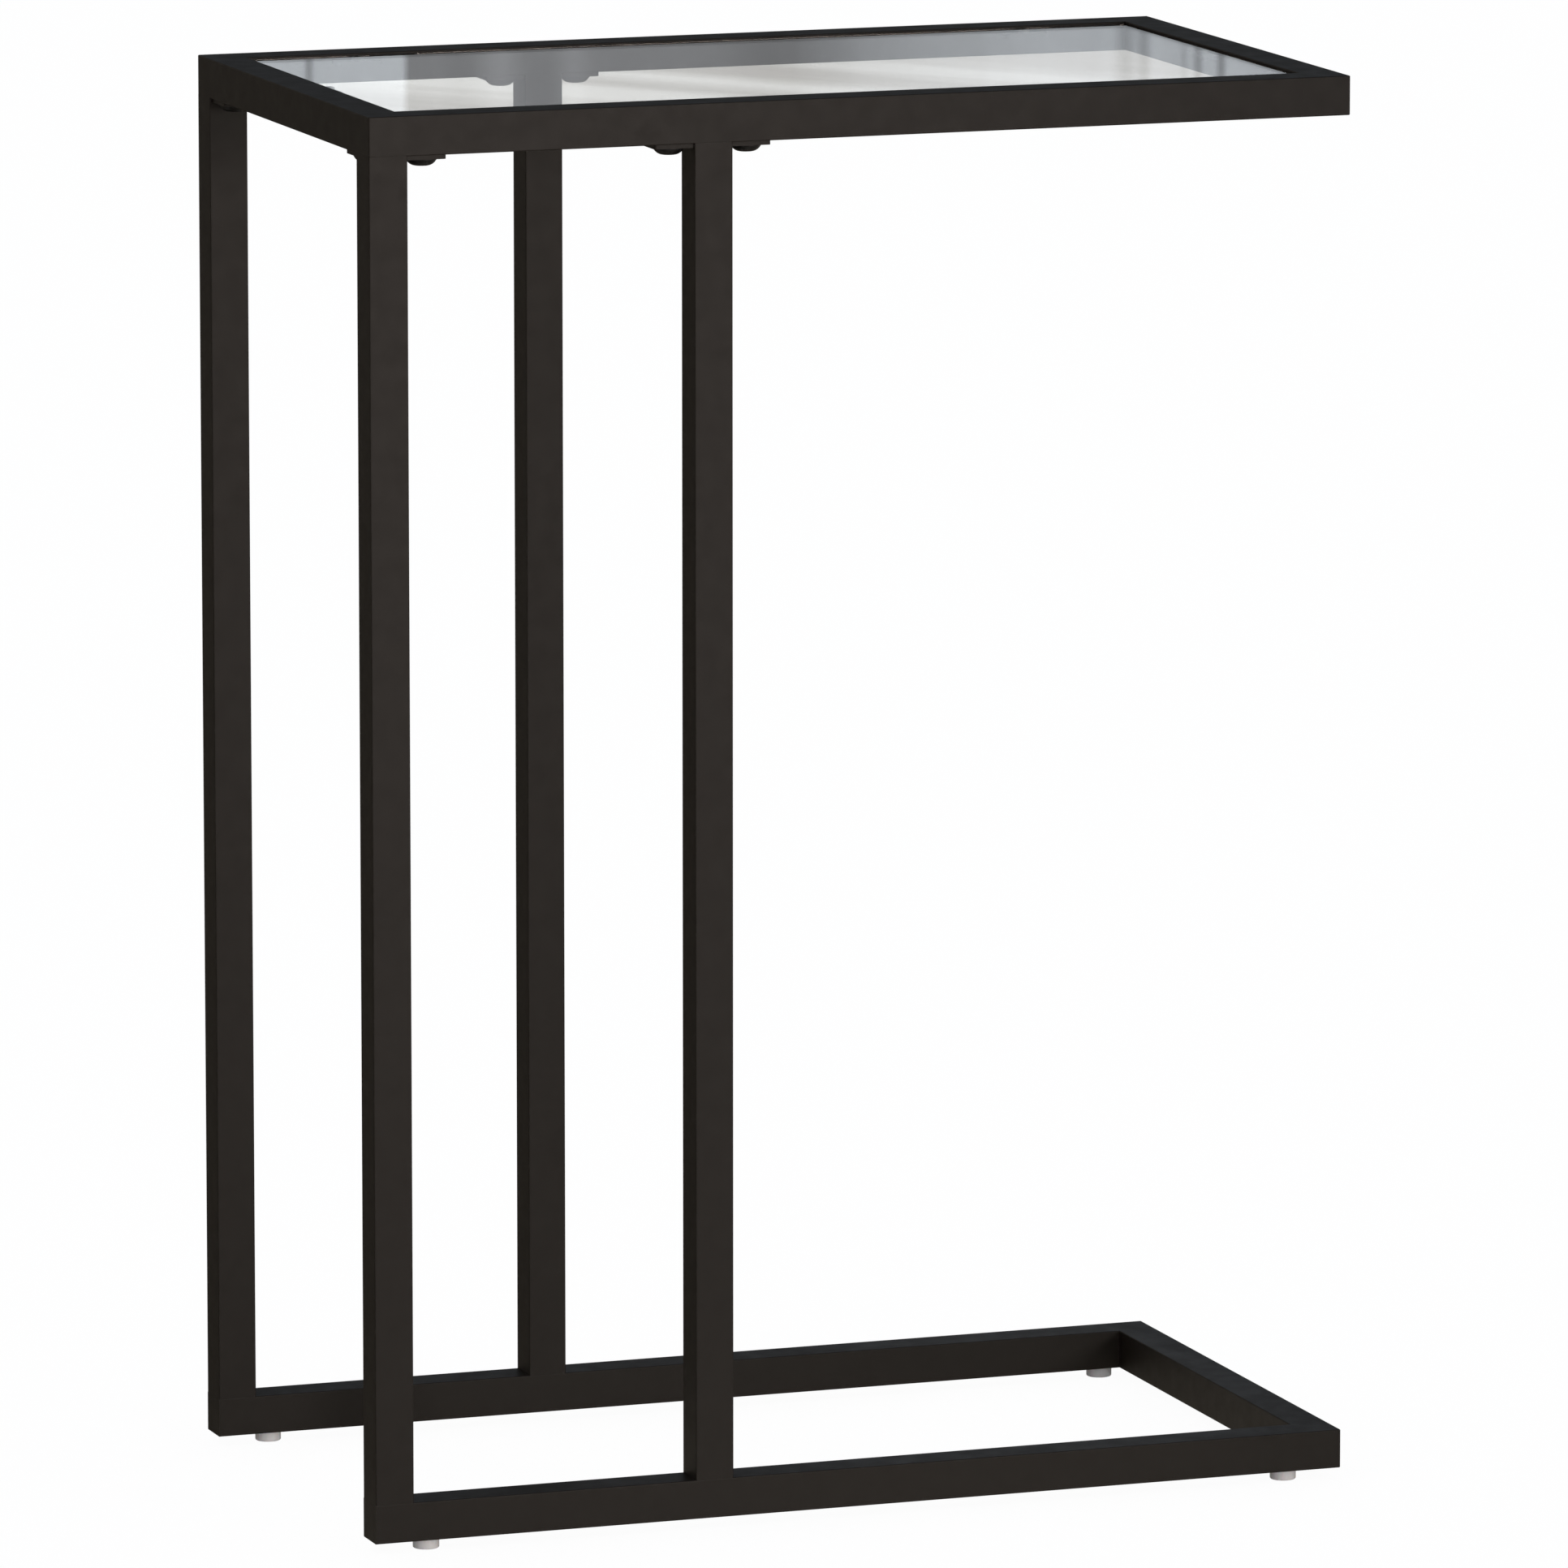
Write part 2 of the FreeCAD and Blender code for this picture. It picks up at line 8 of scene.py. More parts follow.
import bpy
from mathutils import Euler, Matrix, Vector


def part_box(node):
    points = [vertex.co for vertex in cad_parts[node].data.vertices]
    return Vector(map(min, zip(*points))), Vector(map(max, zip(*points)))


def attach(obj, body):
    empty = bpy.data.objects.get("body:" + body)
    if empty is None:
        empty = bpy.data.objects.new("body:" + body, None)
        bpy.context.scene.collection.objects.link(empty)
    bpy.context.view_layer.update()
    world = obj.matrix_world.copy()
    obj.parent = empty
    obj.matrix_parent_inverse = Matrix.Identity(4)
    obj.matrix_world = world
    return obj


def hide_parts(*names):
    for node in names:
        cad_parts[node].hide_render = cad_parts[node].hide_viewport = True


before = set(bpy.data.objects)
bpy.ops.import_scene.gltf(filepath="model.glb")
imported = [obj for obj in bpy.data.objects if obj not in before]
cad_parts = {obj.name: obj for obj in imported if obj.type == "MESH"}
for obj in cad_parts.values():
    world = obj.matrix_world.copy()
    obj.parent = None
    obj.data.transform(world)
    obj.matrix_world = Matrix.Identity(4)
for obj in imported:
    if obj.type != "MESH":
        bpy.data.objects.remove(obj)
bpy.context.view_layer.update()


# ---------------------------------------------------------------------------------------------------
# Rails, legs, plates, end plates and lugs
# Mild steel tube and plate, welded, blasted and sprayed with one black polyester powder, then baked.
# The powder flows into a satin skin with a faint orange peel, a little glossier where it lies thick.
# ---------------------------------------------------------------------------------------------------
MM = 0.001


def to_linear(hex_colour):
    """The linear RGBA of an sRGB colour written as rrggbb."""
    shares = [int(hex_colour[place:place + 2], 16) / 255 for place in (0, 2, 4)]
    return tuple(s / 12.92 if s <= 0.04045 else ((s + 0.055) / 1.055) ** 2.4 for s in shares) + (1.0,)


def add_node(tree, kind, inputs=None, **settings):
    """Adds a node; each input is set to a plain value, or linked to another node's output."""
    made = tree.nodes.new(kind)
    for name, value in settings.items():
        setattr(made, name, value)
    for name, value in (inputs or {}).items():
        if isinstance(value, bpy.types.NodeSocket):
            tree.links.new(value, made.inputs[name])
        else:
            made.inputs[name].default_value = value
    return made


def new_material(name):
    """An empty node material, its tree and its output's surface socket."""
    material = bpy.data.materials.new(name)
    material.use_nodes = True
    material.node_tree.nodes.clear()
    output = add_node(material.node_tree, "ShaderNodeOutputMaterial")
    return material, material.node_tree, output.inputs["Surface"]


def finish_nodes(names, material):
    """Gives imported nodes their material."""
    for name in names:
        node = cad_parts[name]
        node.data.materials.clear()
        node.data.materials.append(material)


# Powder coat: near black and slightly warm, with the broken shine of a fine orange peel.
peel_pitch, peel_depth = 1.6 * MM, 0.012 * MM
cloud_size = 45 * MM
gloss_patch = 9 * MM
coat_glossy, coat_dull = 0.48, 0.54
noise_low, noise_high = 0.3, 0.7  # nearly all of a noise texture's values lie between these

powder_coat, tree, surface = new_material("black_powder_coated_steel")
place = add_node(tree, "ShaderNodeTexCoord").outputs["Object"]
clouds = add_node(tree, "ShaderNodeTexNoise", {"Vector": place, "Scale": 1 / cloud_size, "Detail": 2.0})
colour = add_node(tree, "ShaderNodeMix", {
    0: clouds.outputs["Fac"], 6: to_linear("1b140d"), 7: to_linear("1d160f")}, data_type="RGBA")
patches = add_node(tree, "ShaderNodeTexNoise", {"Vector": place, "Scale": 1 / gloss_patch, "Detail": 3.0})
roughness = add_node(tree, "ShaderNodeMapRange", {
    "Value": patches.outputs["Fac"], "From Min": noise_low, "From Max": noise_high,
    "To Min": coat_glossy, "To Max": coat_dull})
peel = add_node(tree, "ShaderNodeTexNoise", {"Vector": place, "Scale": 1 / peel_pitch, "Detail": 1.0})
relief = add_node(tree, "ShaderNodeBump", {
    "Height": peel.outputs["Fac"], "Distance": peel_depth, "Strength": 1.0})
shader = add_node(tree, "ShaderNodeBsdfPrincipled", {
    "Base Color": colour.outputs[2], "Roughness": roughness.outputs["Result"],
    "Normal": relief.outputs["Normal"], "IOR": 1.5})
tree.links.new(shader.outputs["BSDF"], surface)

coated = [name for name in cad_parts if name.startswith((
    "top_rail", "base_rail", "corner_leg", "middle_leg", "corner_plate", "middle_plate", "glass_lug",
    "base_cap"))]
finish_nodes(coated, powder_coat)


# ---------------------------------------------------------------------------------------------------
# Ground welds
# Weld metal run into the groove that a rail's rounded edge leaves where a leg meets it flush, ground
# level with both tubes before coating. Under the powder a joint shows as no more than a faint line.
# ---------------------------------------------------------------------------------------------------
groove_height = 0.5 * MM
weld_depth = 0.4 * MM
sunk = 0.03 * MM  # how far a weld lies under the tubes' faces
corner_gap = 0.5 * MM
box_faces = ((0, 2, 3, 1), (4, 5, 7, 6), (0, 1, 5, 4), (2, 6, 7, 3), (0, 4, 6, 2), (1, 3, 7, 5))

corners, faces = [], []
for leg in ("corner_leg_front", "corner_leg_back", "middle_leg_front", "middle_leg_back"):
    low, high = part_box(leg)
    outer_y = low.y if leg.endswith("front") else high.y
    strips = [(low.y, low.z - groove_height, 1), (high.y, low.z - groove_height, -1)]
    strips += [(y, high.z, inward) for y, inward in ((low.y, 1), (high.y, -1))
               if leg.startswith("middle") or y == outer_y]
    boxes = [((low.x + corner_gap, high.x - corner_gap),
              sorted((y + inward * sunk, y + inward * weld_depth)),
              (z, z + groove_height)) for y, z, inward in strips]
    if leg.startswith("corner"):
        boxes.append(((low.x + sunk, low.x + weld_depth), (low.y + corner_gap, high.y - corner_gap),
                      (high.z, high.z + groove_height)))
    for across, along, upward in boxes:
        first = len(corners)
        corners += [(x, y, z) for z in upward for y in along for x in across]
        faces += [tuple(first + corner for corner in face) for face in box_faces]
mesh = bpy.data.meshes.new("ground_welds")
mesh.from_pydata(corners, [], faces)
mesh.materials.append(powder_coat)
ground_welds = bpy.data.objects.new("ground_welds", mesh)
bpy.context.scene.collection.objects.link(ground_welds)
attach(ground_welds, "root")


# ---------------------------------------------------------------------------------------------------
# Threaded inserts
# Steel rivet nuts, zinc plated and clear passivated, set into the top rails from below. The plates
# of the legs cover them, and only a leg taken off shows their bright, faintly clouded ends.
# ---------------------------------------------------------------------------------------------------
spangle = 1.5 * MM
zinc_glossy, zinc_dull = 0.28, 0.42

zinc, tree, surface = new_material("zinc_plated_steel")
place = add_node(tree, "ShaderNodeTexCoord").outputs["Object"]
grain = add_node(tree, "ShaderNodeTexNoise", {"Vector": place, "Scale": 1 / spangle, "Detail": 4.0})
tint = add_node(tree, "ShaderNodeMix", {
    0: grain.outputs["Fac"], 6: to_linear("a9abae"), 7: to_linear("c9c7bf")}, data_type="RGBA")
dullness = add_node(tree, "ShaderNodeMapRange", {
    "Value": grain.outputs["Fac"], "To Min": zinc_glossy, "To Max": zinc_dull})
shader = add_node(tree, "ShaderNodeBsdfPrincipled", {
    "Base Color": tint.outputs[2], "Metallic": 1.0, "Roughness": dullness.outputs["Result"]})
tree.links.new(shader.outputs["BSDF"], surface)

finish_nodes([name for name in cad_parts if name.startswith("rivet_nut")], zinc)


# ---------------------------------------------------------------------------------------------------
# Truss head screws
# M6 screws of hardened steel with a black finish, driven up through the plates with a hexagon key.
# A wide domed head with a thin rim, a hexagon socket, and a rolled thread that runs into the insert.
# ---------------------------------------------------------------------------------------------------
closing_gap = 0.002 * MM  # points nearer to each other than this are joined
crease = math.radians(28)  # edges that bend more than this stay sharp


def new_tree(name, sizes):
    """A Geometry Nodes tree with a named input for each size, and its group input node."""
    tree = bpy.data.node_groups.new(name, "GeometryNodeTree")
    tree.interface.new_socket("Geometry", in_out="INPUT", socket_type="NodeSocketGeometry")
    for size in sizes:
        tree.interface.new_socket(size, in_out="INPUT", socket_type="NodeSocketFloat")
    tree.interface.new_socket("Finish", in_out="INPUT", socket_type="NodeSocketMaterial")
    tree.interface.new_socket("Geometry", in_out="OUTPUT", socket_type="NodeSocketGeometry")
    return tree, add_node(tree, "NodeGroupInput")


def length_of(tree, given, shares):
    """The sum of the named sizes, each times its share; zero where none is named."""
    total = None
    for size, share in shares.items():
        inputs = {0: given.outputs[size], 1: share}
        if total is None:
            step = add_node(tree, "ShaderNodeMath", inputs, operation="MULTIPLY")
        else:
            step = add_node(tree, "ShaderNodeMath", {**inputs, 2: total}, operation="MULTIPLY_ADD")
        total = step.outputs[0]
    if total is None:
        total = add_node(tree, "ShaderNodeValue").outputs[0]
        total.default_value = 0.0
    return total


def ring_grid(tree, rings, around):
    """A grid to bend round Z, with the number of the ring and the turn of each of its points."""
    columns = around + 1
    grid = add_node(tree, "GeometryNodeMeshGrid", {
        "Size X": 1.0, "Size Y": 1.0, "Vertices X": rings, "Vertices Y": columns})
    index = add_node(tree, "GeometryNodeInputIndex").outputs[0]
    row = add_node(tree, "ShaderNodeMath", {0: index, 1: float(columns)}, operation="DIVIDE")
    ring = add_node(tree, "ShaderNodeMath", {0: row.outputs[0]}, operation="FLOOR")
    column = add_node(tree, "ShaderNodeMath", {0: index, 1: float(columns)}, operation="MODULO")
    turn = add_node(tree, "ShaderNodeMath", {0: column.outputs[0], 1: 2 * math.pi / around},
                    operation="MULTIPLY")
    return grid.outputs["Mesh"], ring.outputs[0], turn.outputs[0]


def shaped(tree, mesh, radius, turn, height):
    """Moves a grid's points to a radius, a turn and a height about Z."""
    cosine = add_node(tree, "ShaderNodeMath", {0: turn}, operation="COSINE")
    sine = add_node(tree, "ShaderNodeMath", {0: turn}, operation="SINE")
    x = add_node(tree, "ShaderNodeMath", {0: radius, 1: cosine.outputs[0]}, operation="MULTIPLY")
    y = add_node(tree, "ShaderNodeMath", {0: radius, 1: sine.outputs[0]}, operation="MULTIPLY")
    point = add_node(tree, "ShaderNodeCombineXYZ", {0: x.outputs[0], 1: y.outputs[0], 2: height})
    return add_node(tree, "GeometryNodeSetPosition", {
        "Geometry": mesh, "Position": point.outputs[0]}).outputs[0]


def turned(tree, given, outline, around, hexagonal=0):
    """A surface turned about Z through (radius, height) pairs; the first few rings may be hexagonal."""
    grid, ring, turn = ring_grid(tree, len(outline), around)
    picks = []
    for column in (0, 1):
        pick = add_node(tree, "GeometryNodeIndexSwitch", {"Index": ring}, data_type="FLOAT")
        while len(pick.index_switch_items) < len(outline):
            pick.index_switch_items.new()
        for row, pair in enumerate(outline):
            tree.links.new(length_of(tree, given, pair[column]), pick.inputs[row + 1])
        picks.append(pick.outputs[0])
    radius, height = picks
    if hexagonal:
        sixth = math.pi / 3
        wrapped = add_node(tree, "ShaderNodeMath", {0: turn, 1: sixth}, operation="MODULO")
        off = add_node(tree, "ShaderNodeMath", {0: wrapped.outputs[0], 1: -sixth / 2}, operation="ADD")
        cosine = add_node(tree, "ShaderNodeMath", {0: off.outputs[0]}, operation="COSINE")
        on_flats = add_node(tree, "ShaderNodeMath", {0: radius, 1: cosine.outputs[0]}, operation="DIVIDE")
        inside = add_node(tree, "ShaderNodeMath", {0: ring, 1: float(hexagonal)}, operation="LESS_THAN")
        radius = add_node(tree, "ShaderNodeMix", {
            0: inside.outputs[0], 2: radius, 3: on_flats.outputs[0]}, data_type="FLOAT").outputs[0]
    return shaped(tree, grid, radius, turn, height)


def set_on_points(tree, given, mesh, seed):
    """Closes a turned mesh, sets a copy on each incoming point at its own turn, and finishes the tree."""
    closed = add_node(tree, "GeometryNodeMergeByDistance", {"Geometry": mesh, "Distance": closing_gap})
    smooth = add_node(tree, "GeometryNodeSetShadeSmooth", {
        "Geometry": closed.outputs[0], "Shade Smooth": True}, domain="FACE")
    bend = add_node(tree, "GeometryNodeInputMeshEdgeAngle")
    crisp = add_node(tree, "FunctionNodeCompare", {0: bend.outputs[0], 1: crease}, operation="GREATER_THAN")
    edges = add_node(tree, "GeometryNodeSetShadeSmooth", {
        "Geometry": smooth.outputs[0], "Selection": crisp.outputs[0], "Shade Smooth": False}, domain="EDGE")
    turns = add_node(tree, "FunctionNodeRandomValue", {"Min": 0.0, "Max": math.pi / 3, "Seed": seed},
                     data_type="FLOAT")
    turns_out = next(o for o in turns.outputs if o.enabled)
    about_z = add_node(tree, "ShaderNodeCombineXYZ", {2: turns_out})
    copies = add_node(tree, "GeometryNodeInstanceOnPoints", {
        "Points": given.outputs["Geometry"], "Instance": edges.outputs[0], "Rotation": about_z.outputs[0]})
    real = add_node(tree, "GeometryNodeRealizeInstances", {"Geometry": copies.outputs[0]})
    made = add_node(tree, "GeometryNodeSetMaterial", {
        "Geometry": real.outputs[0], "Material": given.outputs["Finish"]})
    add_node(tree, "NodeGroupOutput", {"Geometry": made.outputs[0]})


def grow(name, tree, points, sizes, finish):
    """Runs a tree on points and keeps what it makes as a plain mesh."""
    start = bpy.data.meshes.new(f"{name}_start")
    start.from_pydata(points, [], [])
    piece = bpy.data.objects.new(name, start)
    bpy.context.scene.collection.objects.link(piece)
    modifier = piece.modifiers.new(name, "NODES")
    modifier.node_group = tree
    values = {**sizes, "Finish": finish}
    for socket in tree.interface.items_tree:
        if socket.in_out == "INPUT" and socket.name in values:
            modifier[socket.identifier] = values[socket.name]
    graph = bpy.context.evaluated_depsgraph_get()
    piece.data = bpy.data.meshes.new_from_object(piece.evaluated_get(graph))
    piece.data.name = name
    piece.modifiers.clear()
    bpy.data.meshes.remove(start)
    return piece


def middle_of(name, height):
    """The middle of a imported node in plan, at a given height."""
    low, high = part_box(name)
    return Vector(((low.x + high.x) / 2, (low.y + high.y) / 2, height))


screw_nodes = sorted(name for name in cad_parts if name.startswith("screw_"))
plate_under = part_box("corner_plate_front")[0].z
screw_low, screw_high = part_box(screw_nodes[0])
screw_sizes = {
    "Head radius": (screw_high.x - screw_low.x) / 2,
    "Head height": plate_under - screw_low.z,
    "Rim": 0.4 * MM,
    "Rim edge": 0.12 * MM,
    "Crown radius": 2.7 * MM,
    "Socket half width": 2.0 * MM,
    "Socket depth": 2.2 * MM,
    "Thread radius": 3.0 * MM,
    "Thread depth": 0.55 * MM,
    "Thread pitch": 1.0 * MM,
    "Plain length": 2.2 * MM,
    "Length": screw_high.z - plate_under,
}
around_screw = 36
thread_rings = 60
dome_start, dome_steps = math.radians(30), 8

tree, given = new_tree("truss_screw", screw_sizes)
socket_rings = [
    ({}, {"Head height": -1, "Socket depth": 1}),
    ({"Socket half width": 1}, {"Head height": -1, "Socket depth": 1}),
    ({"Socket half width": 1}, {"Head height": -1, "Rim edge": 1}),
    ({"Socket half width": 1, "Rim edge": 1}, {"Head height": -1}),
]
dome_rings = []
for step in range(dome_steps + 1):
    angle = dome_start + (math.pi / 2 - dome_start) * (dome_steps - step) / dome_steps
    out = math.cos(angle) / math.cos(dome_start)
    down = (math.sin(angle) - math.sin(dome_start)) / (1 - math.sin(dome_start))
    dome_rings.append((
        {"Head radius": out, "Crown radius": 1 - out}, {"Head height": -down, "Rim": down - 1}))
rim_rings = [
    ({"Head radius": 1}, {"Rim edge": -1}),
    ({"Head radius": 1, "Rim edge": -1}, {}),
    ({"Thread radius": 1}, {}),
]
head = turned(tree, given, socket_rings + dome_rings + rim_rings, around_screw,
              hexagonal=len(socket_rings))

shank_grid, ring, turn = ring_grid(tree, thread_rings, around_screw)
share = add_node(tree, "ShaderNodeMath", {0: ring, 1: float(thread_rings - 1)}, operation="DIVIDE")
height = add_node(tree, "ShaderNodeMath", {0: share.outputs[0], 1: given.outputs["Length"]},
                  operation="MULTIPLY").outputs[0]
lead = add_node(tree, "ShaderNodeMath", {0: height, 1: given.outputs["Thread pitch"]}, operation="DIVIDE")
twist = add_node(tree, "ShaderNodeMath", {0: turn, 1: -0.5 / math.pi, 2: lead.outputs[0]},
                 operation="MULTIPLY_ADD")
flank = add_node(tree, "ShaderNodeMath", {0: twist.outputs[0], 1: 0.5}, operation="PINGPONG")
cut_in = add_node(tree, "ShaderNodeMapRange", {
    "Value": height, "From Min": given.outputs["Plain length"],
    "From Max": length_of(tree, given, {"Plain length": 1, "Thread pitch": 1})})
depth = add_node(tree, "ShaderNodeMath", {0: flank.outputs[0], 1: cut_in.outputs["Result"]},
                 operation="MULTIPLY")
groove = add_node(tree, "ShaderNodeMath", {
    0: depth.outputs[0], 1: length_of(tree, given, {"Thread depth": -2}), 2: given.outputs["Thread radius"]},
    operation="MULTIPLY_ADD")
shank = shaped(tree, shank_grid, groove.outputs[0], turn, height)

tip_ring = add_node(tree, "GeometryNodeMeshCircle", {
    "Vertices": around_screw, "Radius": length_of(tree, given, {"Thread radius": 1, "Thread depth": -1})},
    fill_type="TRIANGLE_FAN")
lift = add_node(tree, "ShaderNodeCombineXYZ", {2: given.outputs["Length"]})
tip = add_node(tree, "GeometryNodeTransform", {
    "Geometry": tip_ring.outputs[0], "Translation": lift.outputs[0]})
whole = add_node(tree, "GeometryNodeJoinGeometry")
for part in (head, shank, tip.outputs[0]):
    tree.links.new(part, whole.inputs[0])
set_on_points(tree, given, whole.outputs[0], seed=4)

# Black oxide over steel: a dull grey black with a little of the metal's glint, broken by fine grit.
fine_grit = 0.4 * MM
oxide_glossy, oxide_dull = 0.34, 0.46
black_steel, material_tree, surface = new_material("black_oxide_steel")
place = add_node(material_tree, "ShaderNodeTexCoord").outputs["Object"]
grit = add_node(material_tree, "ShaderNodeTexNoise", {"Vector": place, "Scale": 1 / fine_grit})
dullness = add_node(material_tree, "ShaderNodeMapRange", {
    "Value": grit.outputs["Fac"], "To Min": oxide_glossy, "To Max": oxide_dull})
shader = add_node(material_tree, "ShaderNodeBsdfPrincipled", {
    "Base Color": to_linear("2b2a29"), "Metallic": 0.6, "Roughness": dullness.outputs["Result"]})
material_tree.links.new(shader.outputs["BSDF"], surface)

seats = [middle_of(name, plate_under) for name in screw_nodes]
screws = grow("truss_head_screws", tree, seats, screw_sizes, black_steel)
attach(screws, "root")
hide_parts(*screw_nodes)


# ---------------------------------------------------------------------------------------------------
# Bumpers
# Clear polyurethane drops, stuck on the lugs so that the glass lies soft and can't rattle. Cast in
# one pour, they have a round edge and a soft shine.
# ---------------------------------------------------------------------------------------------------
bumper_nodes = sorted(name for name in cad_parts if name.startswith("glass_bumper"))
bumper_low, bumper_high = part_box(bumper_nodes[0])
bumper_sizes = {
    "Radius": (bumper_high.x - bumper_low.x) / 2,
    "Height": bumper_high.z - bumper_low.z,
    "Edge": 0.7 * MM,
}
around_bumper = 32
round_edge = [math.radians(degrees) for degrees in (90, 67, 45, 22, 0)]  # turns of its rings

tree, given = new_tree("bumper", bumper_sizes)
outline = [({}, {"Height": 1})]
for angle in round_edge:
    out, up = math.cos(angle), math.sin(angle)
    outline.append(({"Radius": 1, "Edge": out - 1}, {"Height": 1, "Edge": up - 1}))
outline += [({"Radius": 1}, {}), ({}, {})]
set_on_points(tree, given, turned(tree, given, outline, around_bumper), seed=2)

# Clear polyurethane: see-through with a soft shine, and a slow ripple that bends what shows in it.
ripple_pitch, ripple_depth = 2 * MM, 0.02 * MM
clear_rubber, material_tree, surface = new_material("clear_polyurethane")
shader = add_node(material_tree, "ShaderNodeBsdfPrincipled", {
    "Base Color": to_linear("eef1ee"), "Roughness": 0.12, "IOR": 1.49, "Transmission Weight": 0.85})
place = add_node(material_tree, "ShaderNodeTexCoord").outputs["Object"]
ripple = add_node(material_tree, "ShaderNodeTexNoise", {"Vector": place, "Scale": 1 / ripple_pitch})
relief = add_node(material_tree, "ShaderNodeBump", {
    "Height": ripple.outputs["Fac"], "Distance": ripple_depth})
material_tree.links.new(relief.outputs["Normal"], shader.inputs["Normal"])
material_tree.links.new(shader.outputs["BSDF"], surface)

seats = [middle_of(name, bumper_low.z) for name in bumper_nodes]
bumpers = grow("glass_bumpers", tree, seats, bumper_sizes, clear_rubber)
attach(bumpers, "root")
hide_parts(*bumper_nodes)


# ---------------------------------------------------------------------------------------------------
# Glass
# A sheet of 5 mm toughened float glass with ground edges, let into the top frame just below the
# rails. It lies loose on the bumpers, held by the rails all round.
# ---------------------------------------------------------------------------------------------------
# Float glass: clear, with a mirror image at a low angle that is weakened as a polarising filter does.
# Shadow rays pass straight through, so that the lamps shine through the sheet on to the floor.
glass_ior, glass_tint = 1.52, to_linear("fcfbfa")
unmirrored_share = 0.5
glass, tree, surface = new_material("toughened_float_glass")
shader = add_node(tree, "ShaderNodeBsdfPrincipled", {
    "Base Color": glass_tint, "Roughness": 0.0, "IOR": glass_ior, "Transmission Weight": 1.0})
unmirrored = add_node(tree, "ShaderNodeBsdfRefraction", {
    "Color": glass_tint, "Roughness": 0.0, "IOR": glass_ior})
polarised = add_node(tree, "ShaderNodeMixShader", {
    0: unmirrored_share, 1: shader.outputs["BSDF"], 2: unmirrored.outputs["BSDF"]})
let_through = add_node(tree, "ShaderNodeBsdfTransparent", {"Color": to_linear("eef6f2")})
path = add_node(tree, "ShaderNodeLightPath")
mixed = add_node(tree, "ShaderNodeMixShader", {
    0: path.outputs["Is Shadow Ray"], 1: polarised.outputs[0], 2: let_through.outputs["BSDF"]})
tree.links.new(mixed.outputs["Shader"], surface)
finish_nodes(["glass_top"], glass)


# ---------------------------------------------------------------------------------------------------
# Glides
# Off white nylon, moulded in one piece with a barbed stem that snaps into the base rail. The foot's
# lower edge is round, and it stands 5 mm proud of the steel.
# ---------------------------------------------------------------------------------------------------
glide_nodes = sorted(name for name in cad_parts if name.startswith("glide"))
base_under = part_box("base_rail_front")[0].z
glide_low, glide_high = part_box(glide_nodes[0])
glide_sizes = {
    "Foot radius": (glide_high.x - glide_low.x) / 2,
    "Foot height": base_under - glide_low.z,
    "Edge": 0.7 * MM,
    "Stem radius": 3.2 * MM,
    "Wall": 1.6 * MM,
    "Barb radius": 3.7 * MM,
    "Tip radius": 2.0 * MM,
    "Length": glide_high.z - base_under,
}
around_glide = 48

tree, given = new_tree("glide", glide_sizes)
outline = [({}, {"Foot height": -1})]
for angle in round_edge:
    out, down = math.cos(angle), math.sin(angle)
    outline.append(({"Foot radius": 1, "Edge": out - 1}, {"Foot height": -1, "Edge": 1 - down}))
outline += [
    ({"Foot radius": 1}, {}),
    ({"Stem radius": 1}, {}),
    ({"Stem radius": 1}, {"Wall": 1}),
    ({"Barb radius": 1}, {"Wall": 1}),
    ({"Tip radius": 1}, {"Length": 1}),
    ({}, {"Length": 1}),
]
set_on_points(tree, given, turned(tree, given, outline, around_glide), seed=6)

# Moulded nylon: a warm white that light enters a little way, with the fine grain of the mould.
mould_grain, grain_depth = 0.8 * MM, 0.01 * MM
nylon, material_tree, surface = new_material("moulded_nylon")
place = add_node(material_tree, "ShaderNodeTexCoord").outputs["Object"]
grain = add_node(material_tree, "ShaderNodeTexNoise", {"Vector": place, "Scale": 1 / mould_grain})
tone = add_node(material_tree, "ShaderNodeMix", {
    0: grain.outputs["Fac"], 6: to_linear("e9e4df"), 7: to_linear("f0ece8")}, data_type="RGBA")
relief = add_node(material_tree, "ShaderNodeBump", {
    "Height": grain.outputs["Fac"], "Distance": grain_depth})
shader = add_node(material_tree, "ShaderNodeBsdfPrincipled", {
    "Base Color": tone.outputs[2], "Roughness": 0.45, "IOR": 1.53, "Normal": relief.outputs["Normal"],
    "Subsurface Weight": 0.15, "Subsurface Scale": 1.5 * MM})
material_tree.links.new(shader.outputs["BSDF"], surface)

soles = [middle_of(name, base_under) for name in glide_nodes]
glides = grow("nylon_glides", tree, soles, glide_sizes, nylon)
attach(glides, "root")
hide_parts(*glide_nodes)


# ---------------------------------------------------------------------------------------------------
# Floor
# A wide floor in pale matt paint, which keeps the table's soft shadow and otherwise shows as white.
# Seen through the glass, it has painted streaks of light and shade, as from a window, some metres behind the
# table.
# ---------------------------------------------------------------------------------------------------
def square(half, height):
    """The corners of a level square about the origin."""
    return [(-half, -half, height), (half, -half, height), (half, half, height), (-half, half, height)]


def stage_sheet(name, corners, faces, material):
    """A floor or card, made as a plain mesh with one material and linked to the scene."""
    mesh = bpy.data.meshes.new(name)
    mesh.from_pydata(corners, [], faces)
    mesh.materials.append(material)
    sheet = bpy.data.objects.new(name, mesh)
    bpy.context.scene.collection.objects.link(sheet)


